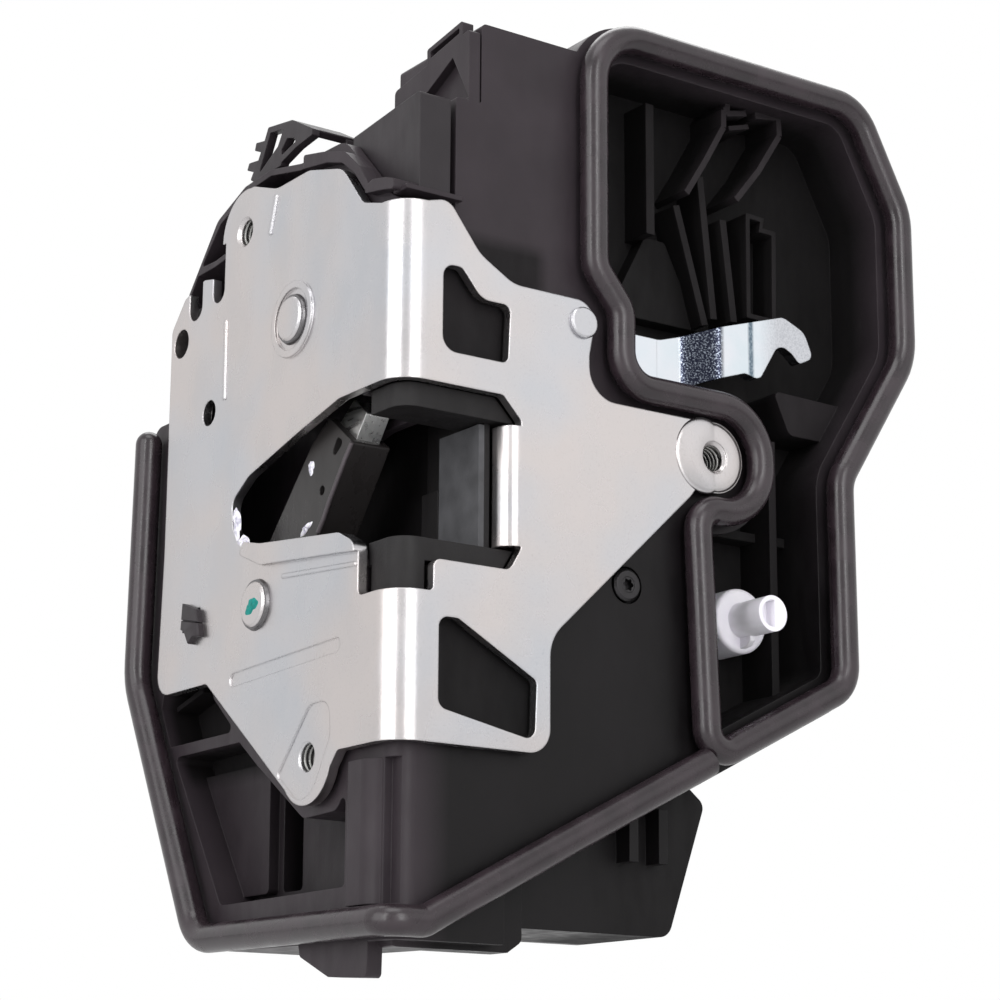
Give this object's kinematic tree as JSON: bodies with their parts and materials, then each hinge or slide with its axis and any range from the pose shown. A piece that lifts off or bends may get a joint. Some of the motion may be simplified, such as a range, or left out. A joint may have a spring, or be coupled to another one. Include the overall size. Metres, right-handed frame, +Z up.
{
  "type": "door latch actuator",
  "caption": "Vehicle door latch with lock drive: bent zinc plate with striker mouth, fork and pawl, release lever, white lock coupler, black housing and perimeter seal.",
  "frame": {"origin": "outer corner of the latch plate at the height of the striker", "axes": "+X runs inwards along the inner face, +Y is the way the striker enters, +Z is up; the shut face is the plane x = 0 and the inner face the plane y = 0"},
  "size_m": [0.1281, 0.1007, 0.1837],
  "materials": {
    "zinc": "zinc-plated pressed steel, fine satin grain with faint yellow and blue tints",
    "bright_zinc": "bright zinc-plated steel",
    "steel": "ground steel",
    "black_steel": "blackened screw steel",
    "spring_steel": "oiled spring wire",
    "motor_steel": "nickel-plated can",
    "brass": "turned or stamped brass",
    "black_plastic": "moulded black plastic with fine grain and satin highlights",
    "fork_plastic": "smooth black overmould",
    "seal_rubber": "dark brownish soft seal with a faint streaky sheen",
    "grey_rubber": "dark grey damping rubber",
    "white_plastic": "white slightly lilac moulded plastic",
    "natural_plastic": "natural moulded gear plastic",
    "grey_plastic": "dark grey switch housings"
  },
  "bodies": {
    "frame": {"latch_plate": "zinc", "back_plate": "zinc", "fork_pin": "zinc", "pawl_pin": "zinc", "lever_pin": "zinc", "latch_case": "black_plastic", "main_housing": "black_plastic", "actuator_cover": "black_plastic", "seal": "seal_rubber", "mouth_liner": "black_plastic", "mouth_bumper": "grey_rubber", "connector_shroud": "black_plastic", "connector_terminals": "brass", "top_guide": "black_plastic", "wheel_axle": "steel", "lock_motor": "motor_steel", "motor_end_cap": "black_plastic", "contact_carrier": "black_plastic", "microswitches": "grey_plastic", "housing_screws": "steel", "connector_guide": "black_plastic", "front_screw": "black_steel"},
    "fork": {"fork_core": "steel", "fork_cover": "fork_plastic", "fork_spring": "spring_steel"},
    "pawl": {"pawl_core": "steel", "pawl_cover": "fork_plastic", "pawl_spring": "spring_steel"},
    "lever": {"release_lever": "bright_zinc", "lever_spring": "spring_steel"},
    "coupler": {"lock_coupler": "white_plastic", "coupler_cam": "white_plastic"},
    "worm": {"motor_worm": "brass"},
    "wheel": {"lock_wheel": "natural_plastic"},
    "slider": {"lock_slider": "natural_plastic"}
  },
  "joints": [
    {"name": "fork_turn", "type": "hinge", "parent": "frame", "child": "fork", "pos_m": [0.0083, 0.0473, -0.016], "axis": [-1, 0, 0], "range_deg": [0, 71.4], "stiffness_Nm_per_rad": 0.06, "springref_deg": -17.19},
    {"name": "pawl_turn", "type": "hinge", "parent": "frame", "child": "pawl", "pos_m": [0.0083, 0.0366, 0.037], "axis": [1, 0, 0], "range_deg": [-12, 6], "stiffness_Nm_per_rad": 0.05},
    {"name": "lever_swing", "type": "hinge", "parent": "frame", "child": "lever", "pos_m": [0.0407, 0.01, 0.0345], "axis": [0, -1, 0], "range_deg": [0, 14], "stiffness_Nm_per_rad": 0.08, "springref_deg": -17.19},
    {"name": "coupler_turn", "type": "hinge", "parent": "frame", "child": "coupler", "pos_m": [0.0854, 0.01, -0.015], "axis": [0, 1, 0], "range_deg": [-45, 45]},
    {"name": "motor_spin", "type": "hinge", "parent": "frame", "child": "worm", "pos_m": [0.041, 0.0217, -0.0587], "axis": [1, 0, 0], "range_deg": [0, 1800]},
    {"name": "wheel_turn", "type": "hinge", "parent": "frame", "child": "wheel", "pos_m": [0.041, 0.02, -0.042], "axis": [0, 1, 0], "range_deg": [0, 60.1]},
    {"name": "slider_slide", "type": "slide", "parent": "frame", "child": "slider", "axis": [0, 0, -1], "range_m": [0, 0.0047]}
  ],
  "couplings": [
    {"joint": "wheel_turn", "follows": "slider_slide", "rad_per_m": 222.22},
    {"joint": "motor_spin", "follows": "slider_slide", "rad_per_m": 6666.7}
  ]
}
